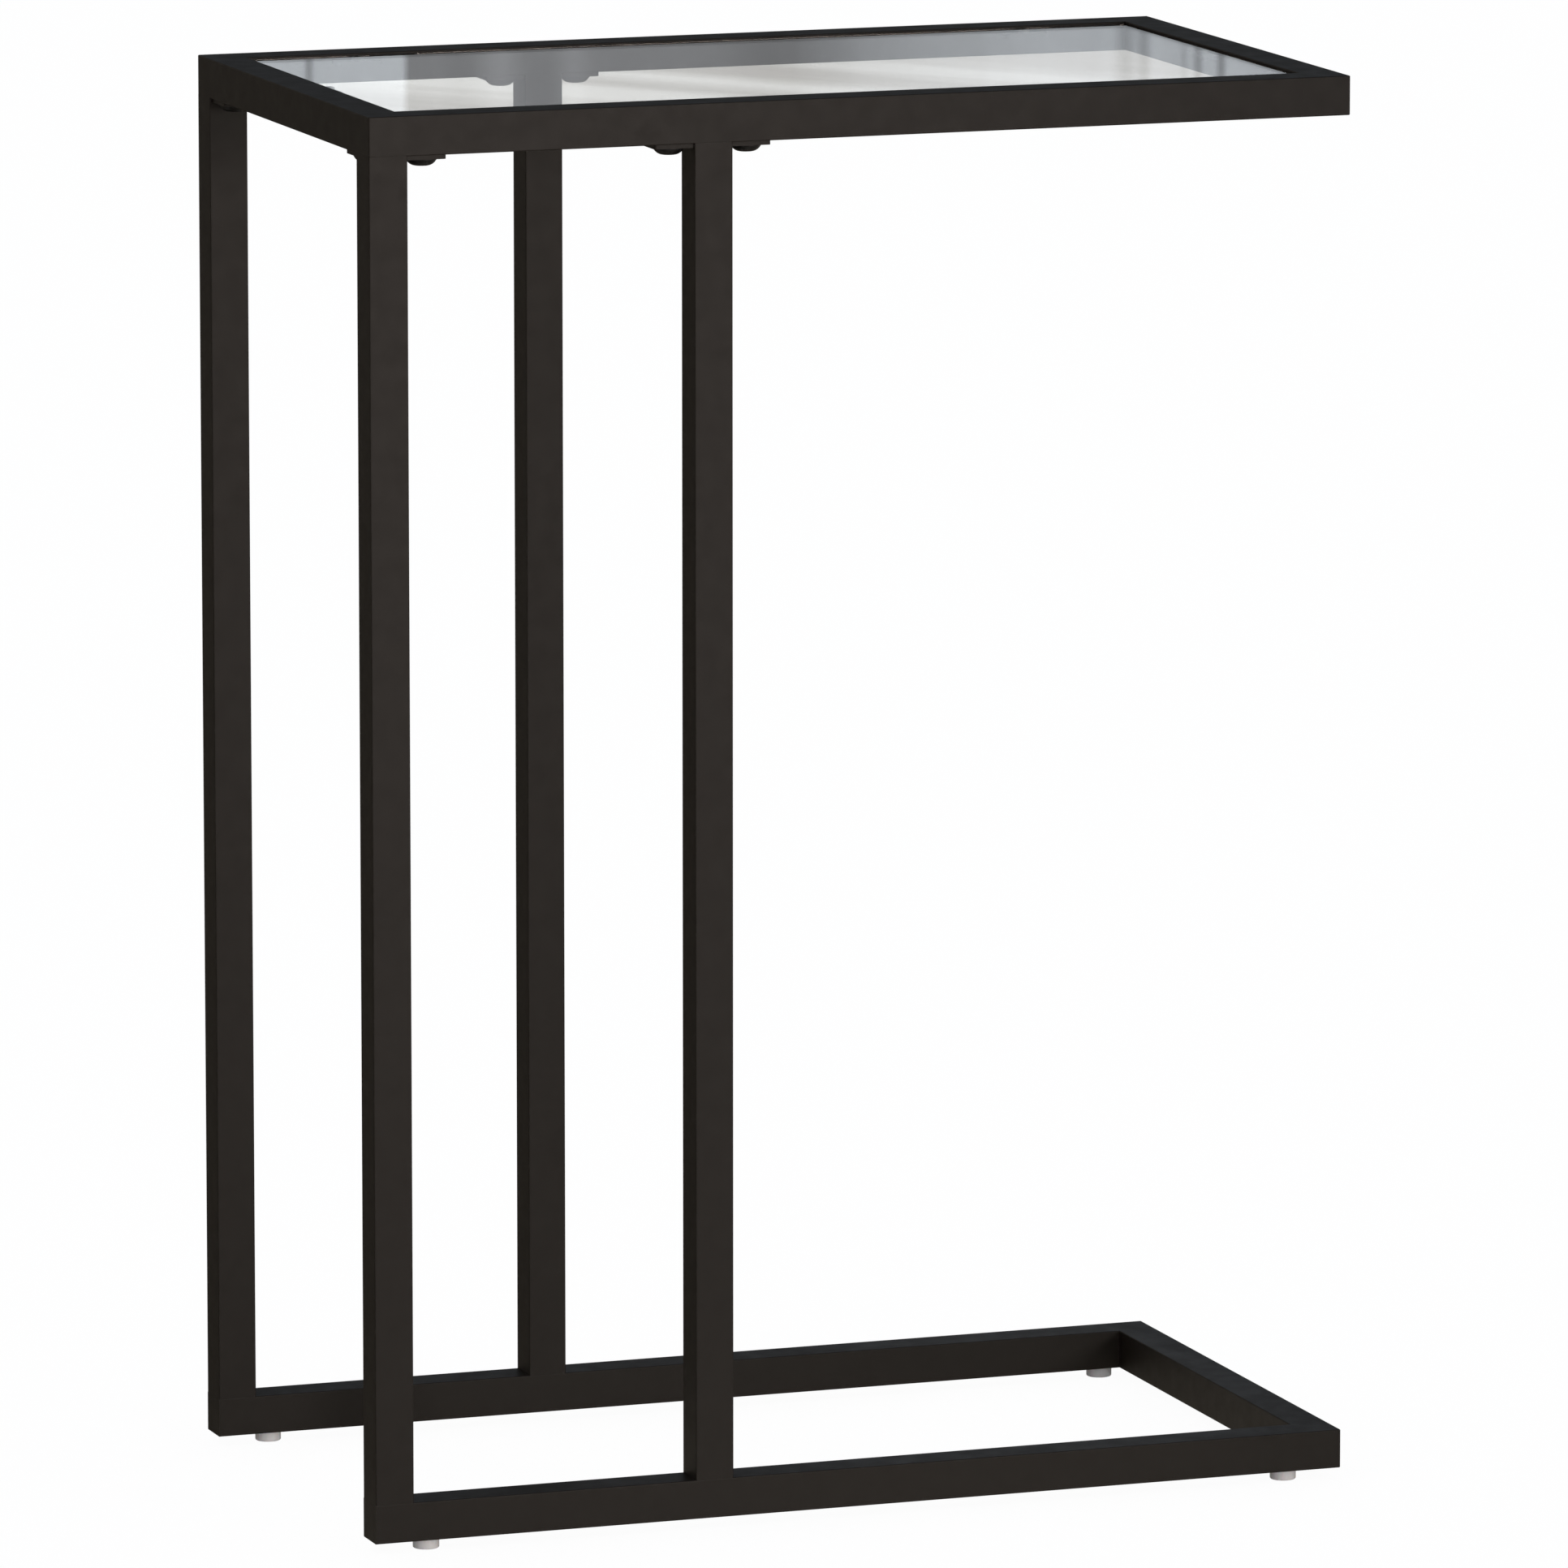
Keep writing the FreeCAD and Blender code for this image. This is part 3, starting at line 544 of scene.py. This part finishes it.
def white_where_seen(tree):
    """1 for a ray that shows the background: straight from the camera, mirrored, or through glass."""
    path = add_node(tree, "ShaderNodeLightPath")
    either = add_node(tree, "ShaderNodeMath", {
        0: path.outputs["Is Camera Ray"], 1: path.outputs["Is Glossy Ray"]}, operation="MAXIMUM")
    return add_node(tree, "ShaderNodeMath", {
        0: either.outputs[0], 1: path.outputs["Is Transmission Ray"]}, operation="MAXIMUM").outputs[0]


def band(tree, sideways, middle, half, inside, outside):
    """A value that runs smoothly from inside, on a middle line, to outside, half a band's width off."""
    off = add_node(tree, "ShaderNodeMath", {0: sideways, 1: middle}, operation="SUBTRACT")
    off = add_node(tree, "ShaderNodeMath", {0: off.outputs[0]}, operation="ABSOLUTE")
    return add_node(tree, "ShaderNodeMapRange", {
        "Value": off.outputs[0], "From Max": half, "To Min": inside, "To Max": outside},
        interpolation_type="SMOOTHSTEP").outputs["Result"]


floor_half = 60.0
whitened_share = 0.95
white_level = 1.014  # a hair over 1, because the paint's own share of the look stays under it
# The painted streaks of light and shade all lie at one turn over a streaky noise of painted light, and
# fade out away from a middle. A streak is its place across them, half its width and its lift; a step is
# where it starts, where it ends and its lift, which is below 0 where it paints shade.
streak_along, streak_across, streak_turn = 0.25, 0.035, math.radians(-52)
streaks_middle, fade_from, fade_to = (1.57, 5.12, 0), 1.2, 3.0
grain_low, grain_high, painted_shade_level, painted_light_level = 0.35, 0.65, 0.12, 0.31
painted_light_streaks = ((4.405, 0.07, 0.78), (4.515, 0.065, 0.74), (4.683, 0.06, 0.42), (4.779, 0.05, 0.10))
painted_light_and_shade_steps = ((4.428, 4.358, 0.5), (4.34, 4.25, -0.31), (4.70, 4.80, -0.25))

floor_paint, tree, surface = new_material("pale_floor_paint")
paint = add_node(tree, "ShaderNodeBsdfDiffuse", {"Color": to_linear("f2f2f2")})
place = add_node(tree, "ShaderNodeTexCoord").outputs["Object"]
laid = add_node(tree, "ShaderNodeMapping", {"Vector": place, "Rotation": (0, 0, streak_turn)},
                vector_type="TEXTURE")
sideways = add_node(tree, "ShaderNodeSeparateXYZ", {0: laid.outputs[0]}).outputs["Y"]
stretched = add_node(tree, "ShaderNodeVectorMath", {
    0: laid.outputs[0], 1: (1 / streak_along, 1 / streak_across, 1)}, operation="MULTIPLY")
# This noise is painted light and shade in streaks, which the floor shows only through glass.
grain = add_node(tree, "ShaderNodeTexNoise", {"Vector": stretched.outputs[0], "Scale": 1.0, "Detail": 2.0})
level = add_node(tree, "ShaderNodeMapRange", {
    "Value": grain.outputs["Fac"], "From Min": grain_low, "From Max": grain_high,
    "To Min": painted_shade_level, "To Max": painted_light_level}).outputs["Result"]
for start, end, lift in painted_light_and_shade_steps:
    step = add_node(tree, "ShaderNodeMapRange", {
        "Value": sideways, "From Min": start, "From Max": end, "To Max": lift},
        interpolation_type="SMOOTHSTEP")
    level = add_node(tree, "ShaderNodeMath", {0: level, 1: step.outputs["Result"]}).outputs[0]
for middle, half, lift in painted_light_streaks:
    streak = band(tree, sideways, middle, half, lift, 0.0)
    level = add_node(tree, "ShaderNodeMath", {0: level, 1: streak}).outputs[0]
away = add_node(tree, "ShaderNodeVectorMath", {0: place, 1: streaks_middle}, operation="DISTANCE")
beyond = add_node(tree, "ShaderNodeMapRange", {
    "Value": away.outputs["Value"], "From Min": fade_from, "From Max": fade_to},
    interpolation_type="SMOOTHSTEP")
# Painted streaks of light and shade, from dark to light, for rays that come through the glass.
under_glass = add_node(tree, "ShaderNodeMix", {
    0: level, 6: to_linear("bfbcb6"), 7: to_linear("fdfffc")}, data_type="RGBA")
under_glass = add_node(tree, "ShaderNodeMix", {
    0: beyond.outputs["Result"], 6: under_glass.outputs[2], 7: to_linear("ffffff")}, data_type="RGBA")
path = add_node(tree, "ShaderNodeLightPath")
shown = add_node(tree, "ShaderNodeMix", {
    0: path.outputs["Is Transmission Ray"], 6: to_linear("ffffff"), 7: under_glass.outputs[2]},
    data_type="RGBA")
white = add_node(tree, "ShaderNodeEmission", {"Color": shown.outputs[2], "Strength": white_level})
whitened = add_node(tree, "ShaderNodeMath", {0: white_where_seen(tree), 1: whitened_share},
                    operation="MULTIPLY")
mixed = add_node(tree, "ShaderNodeMixShader", {
    0: whitened.outputs[0], 1: paint.outputs["BSDF"], 2: white.outputs["Emission"]})
tree.links.new(mixed.outputs["Shader"], surface)
stage_sheet("floor", square(floor_half, 0), [(0, 1, 2, 3)], floor_paint)


# ---------------------------------------------------------------------------------------------------
# Sky
# Even, faintly cool light from all round, as in a white studio. To the eye it is plain white beyond
# the floor's edge, whatever light it gives the steel.
# ---------------------------------------------------------------------------------------------------
sky_strength = 0.75
world = bpy.data.worlds.new("even_sky")
bpy.context.scene.world = world
world.use_nodes = True
world.node_tree.nodes.clear()
even = add_node(world.node_tree, "ShaderNodeBackground", {
    "Color": to_linear("f4f7ff"), "Strength": sky_strength})
blank = add_node(world.node_tree, "ShaderNodeBackground", {"Color": to_linear("ffffff"), "Strength": 1.0})
seen = add_node(world.node_tree, "ShaderNodeMixShader", {
    0: white_where_seen(world.node_tree), 1: even.outputs[0], 2: blank.outputs[0]})
add_node(world.node_tree, "ShaderNodeOutputWorld", {"Surface": seen.outputs[0]})


# ---------------------------------------------------------------------------------------------------
# Dim room
# The room that coat and glass mirror, painted on glowing cards as a painted reflection: a floor that is
# bright in front of the table, dim behind it and with a painted pool of light below it, and grey walls.
# Only mirrored rays see these cards; they light nothing else.
# ---------------------------------------------------------------------------------------------------
def card_material(name):
    """A glowing card of painted reflection for rays that something has mirrored, and nothing at all for
    other rays.
    """
    material, tree, surface = new_material(name)
    path = add_node(tree, "ShaderNodeLightPath")
    mirrored = add_node(tree, "ShaderNodeMath", {0: path.outputs["Glossy Depth"], 1: 1.0},
                        operation="MINIMUM")
    glow = add_node(tree, "ShaderNodeEmission")
    nothing = add_node(tree, "ShaderNodeBsdfTransparent")
    mixed = add_node(tree, "ShaderNodeMixShader", {
        0: mirrored.outputs[0], 1: nothing.outputs["BSDF"], 2: glow.outputs["Emission"]})
    tree.links.new(mixed.outputs["Shader"], surface)
    place = add_node(tree, "ShaderNodeTexCoord").outputs["Object"]
    return material, tree, place, glow


room_half, card_height = 14.0, 0.2 * MM
front_tone, back_tone, right_back_tone = to_linear("c0b3a9"), to_linear("5d574d"), to_linear("a29d95")
# The pool below the table is painted light on the card.
painted_pool_tone = to_linear("9e978b")
bright_until, dim_from = -4.0, 0.3
right_back_from, right_back_to = 0.25, 1.2
pool_middle, pool_radius = (0.1, -0.16, 0), 0.56

room_floor, tree, place, glow = card_material("mirrored_room_floor")
axes = add_node(tree, "ShaderNodeSeparateXYZ", {0: place})
forward = add_node(tree, "ShaderNodeMapRange", {
    "Value": axes.outputs["Y"], "From Min": bright_until, "From Max": dim_from},
    interpolation_type="SMOOTHSTEP")
rightward = add_node(tree, "ShaderNodeMapRange", {
    "Value": axes.outputs["X"], "From Min": right_back_from, "From Max": right_back_to},
    interpolation_type="SMOOTHSTEP")
tone = add_node(tree, "ShaderNodeMix", {
    0: rightward.outputs["Result"], 6: back_tone, 7: right_back_tone}, data_type="RGBA")
tone = add_node(tree, "ShaderNodeMix", {
    0: forward.outputs["Result"], 6: front_tone, 7: tone.outputs[2]}, data_type="RGBA")
spread = add_node(tree, "ShaderNodeVectorMath", {0: place, 1: pool_middle}, operation="DISTANCE")
pooled = add_node(tree, "ShaderNodeMapRange", {
    "Value": spread.outputs["Value"], "From Min": pool_radius, "From Max": 0.0},
    interpolation_type="SMOOTHSTEP")
tone = add_node(tree, "ShaderNodeMix", {
    0: pooled.outputs["Result"], 6: tone.outputs[2], 7: painted_pool_tone}, data_type="RGBA")
tree.links.new(tone.outputs[2], glow.inputs["Color"])
stage_sheet("room_floor_card", square(room_half, card_height), [(0, 1, 2, 3)], room_floor)

wall_sides, wall_radius, wall_height = 48, 12.0, 12.0
left_wall, right_wall_low, right_wall_high = to_linear("7c766f"), to_linear("3f4b55"), to_linear("5f6367")
wall_low_until, wall_high_from = 1.6, 3.2
wall_left_until, wall_right_from = -2.5, 1.0

room_wall, tree, place, glow = card_material("mirrored_room_walls")
axes = add_node(tree, "ShaderNodeSeparateXYZ", {0: place})
upward = add_node(tree, "ShaderNodeMapRange", {
    "Value": axes.outputs["Z"], "From Min": wall_low_until, "From Max": wall_high_from},
    interpolation_type="SMOOTHSTEP")
tone = add_node(tree, "ShaderNodeMix", {
    0: upward.outputs["Result"], 6: right_wall_low, 7: right_wall_high}, data_type="RGBA")
rightward = add_node(tree, "ShaderNodeMapRange", {
    "Value": axes.outputs["X"], "From Min": wall_left_until, "From Max": wall_right_from},
    interpolation_type="SMOOTHSTEP")
tone = add_node(tree, "ShaderNodeMix", {
    0: rightward.outputs["Result"], 6: left_wall, 7: tone.outputs[2]}, data_type="RGBA")
tree.links.new(tone.outputs[2], glow.inputs["Color"])
turns = [2 * math.pi * side / wall_sides for side in range(wall_sides)]
ring = [(wall_radius * math.cos(turn), wall_radius * math.sin(turn)) for turn in turns]
panels = [(side, (side + 1) % wall_sides, wall_sides + (side + 1) % wall_sides, wall_sides + side)
          for side in range(wall_sides)]
ceiling = tuple(range(wall_sides, 2 * wall_sides))
stage_sheet("room_wall_card", [(x, y, z) for z in (0, wall_height) for x, y in ring],
            panels + [ceiling], room_wall)


# ---------------------------------------------------------------------------------------------------
# Curtain
# A pale curtain far behind the table, square to the camera, painted on a glowing card that shows only
# as the glass mirrors it, a painted reflection: bright cloth in folds at the left edge and at the right,
# with a dim gap between them. Its folds and pleats are painted shade and light.
# ---------------------------------------------------------------------------------------------------
yaw = math.radians(19.716)  # the camera's turn from straight back towards +X
curtain_out, curtain_half, curtain_low, curtain_high = 11.0, 1.0, 1.3, 2.6
dim_tone, bright_tone = to_linear("b0b3b7"), to_linear("f1f8ff")
left_edge, left_blur, left_brightness = -0.475, 0.01, 1.22
right_foot, right_head, right_slope = 0.02, 0.38, 0.65
folds_per_metre, fold_shade, fold_light = 14.0, 0.95, 1.05
# A pleat is its place from the middle, half its width and how much painted shade it adds; below 0,
# it adds painted light instead.
pleats = ((-0.604, 0.010, 0.40), (-0.412, 0.030, 0.08), (-0.36, 0.035, -0.30), (-0.265, 0.030, -0.19),
          (0.025, 0.150, 0.20), (0.445, 0.022, 0.31), (0.468, 0.014, 0.32), (0.52, 0.008, 0.16),
          (0.538, 0.010, 0.35), (0.568, 0.010, 0.42), (0.588, 0.030, -0.12))

curtain, tree, place, glow = card_material("mirrored_curtain")
squared = add_node(tree, "ShaderNodeMapping", {"Vector": place, "Rotation": (0, 0, yaw)})
sideways = add_node(tree, "ShaderNodeSeparateXYZ", {0: squared.outputs[0]}).outputs["X"]
left_cloth = add_node(tree, "ShaderNodeMapRange", {
    "Value": sideways, "From Min": left_edge, "From Max": left_edge - left_blur,
    "To Max": left_brightness})
right_cloth = add_node(tree, "ShaderNodeMapRange", {
    "Value": sideways, "From Min": right_foot, "From Max": right_head})
gathered = add_node(tree, "ShaderNodeMath", {0: right_cloth.outputs["Result"], 1: right_slope},
                    operation="POWER")
cloth = add_node(tree, "ShaderNodeMath", {
    0: left_cloth.outputs["Result"], 1: gathered.outputs[0]}, operation="MAXIMUM")
folds = add_node(tree, "ShaderNodeTexNoise", {"W": sideways, "Scale": folds_per_metre, "Detail": 3.0},
                 noise_dimensions="1D")
shade = add_node(tree, "ShaderNodeMapRange", {
    "Value": folds.outputs["Fac"], "From Min": noise_low, "From Max": noise_high,
    "To Min": fold_shade, "To Max": fold_light}).outputs["Result"]
for middle, half, depth in pleats:
    pleat = band(tree, sideways, middle, half, 1 - depth, 1.0)
    shade = add_node(tree, "ShaderNodeMath", {0: shade, 1: pleat}, operation="MULTIPLY").outputs[0]
tone = add_node(tree, "ShaderNodeMix", {
    0: cloth.outputs[0], 6: dim_tone, 7: bright_tone}, data_type="RGBA", clamp_factor=False)
tree.links.new(tone.outputs[2], glow.inputs["Color"])
tree.links.new(shade, glow.inputs["Strength"])
across = Vector((math.cos(yaw), -math.sin(yaw), 0)) * curtain_half
foot = Vector((math.sin(yaw), math.cos(yaw), 0)) * curtain_out
stage_sheet("curtain_card", [foot + across * side + Vector((0, 0, z))
                             for side, z in ((-1, curtain_low), (1, curtain_low), (1, curtain_high),
                                             (-1, curtain_high))], [(0, 1, 2, 3)], curtain)


# ---------------------------------------------------------------------------------------------------
# Lamps and camera
# A warm soft lamp in front and to the right lights the faces of the steel, and a small cool one
# behind grazes the tops of the base rails. The camera looks slightly down from the front left.
# ---------------------------------------------------------------------------------------------------
def aimed_lamp(name, colour, watts, radius, cone, place, target):
    """A soft edged spot lamp, itself hidden from the camera and from rays through glass."""
    lamp = bpy.data.lights.new(name, "SPOT")
    lamp.energy = watts
    lamp.shadow_soft_size = radius
    lamp.spot_size, lamp.spot_blend = cone, 1.0
    lamp.color = to_linear(colour)[:3]
    stand = bpy.data.objects.new(name, lamp)
    bpy.context.scene.collection.objects.link(stand)
    stand.location = place
    stand.rotation_euler = (Vector(target) - stand.location).to_track_quat("-Z", "Y").to_euler()
    stand.visible_camera = False
    stand.visible_transmission = False


aimed_lamp("front_lamp", "fff2e8", watts=186.0, radius=0.5, cone=math.radians(44),
           place=(1.5, -4.2, 0.95), target=(-1.0, -0.29, 0.12))
aimed_lamp("back_lamp", "f3f9ff", watts=2.6, radius=0.3, cone=math.radians(9),
           place=(1.9, 4.6, 1.3), target=(0.13, -0.02, 0.0))

pitch, reach = math.radians(9.780), 6.1345
aim = Vector((0.0053, -0.0037, 0.3179))
ahead = Vector((math.sin(yaw) * math.cos(pitch), math.cos(yaw) * math.cos(pitch), -math.sin(pitch)))
lens = bpy.data.cameras.new("camera")
lens.sensor_width = 36.0
lens.lens = 306.36
lens.clip_end = 200.0
camera = bpy.data.objects.new("camera", lens)
bpy.context.scene.collection.objects.link(camera)
camera.location = aim - ahead * reach
camera.rotation_euler = Euler((math.pi / 2 - pitch, 0, -yaw))
bpy.context.scene.camera = camera
bpy.context.scene.view_settings.view_transform = "Standard"
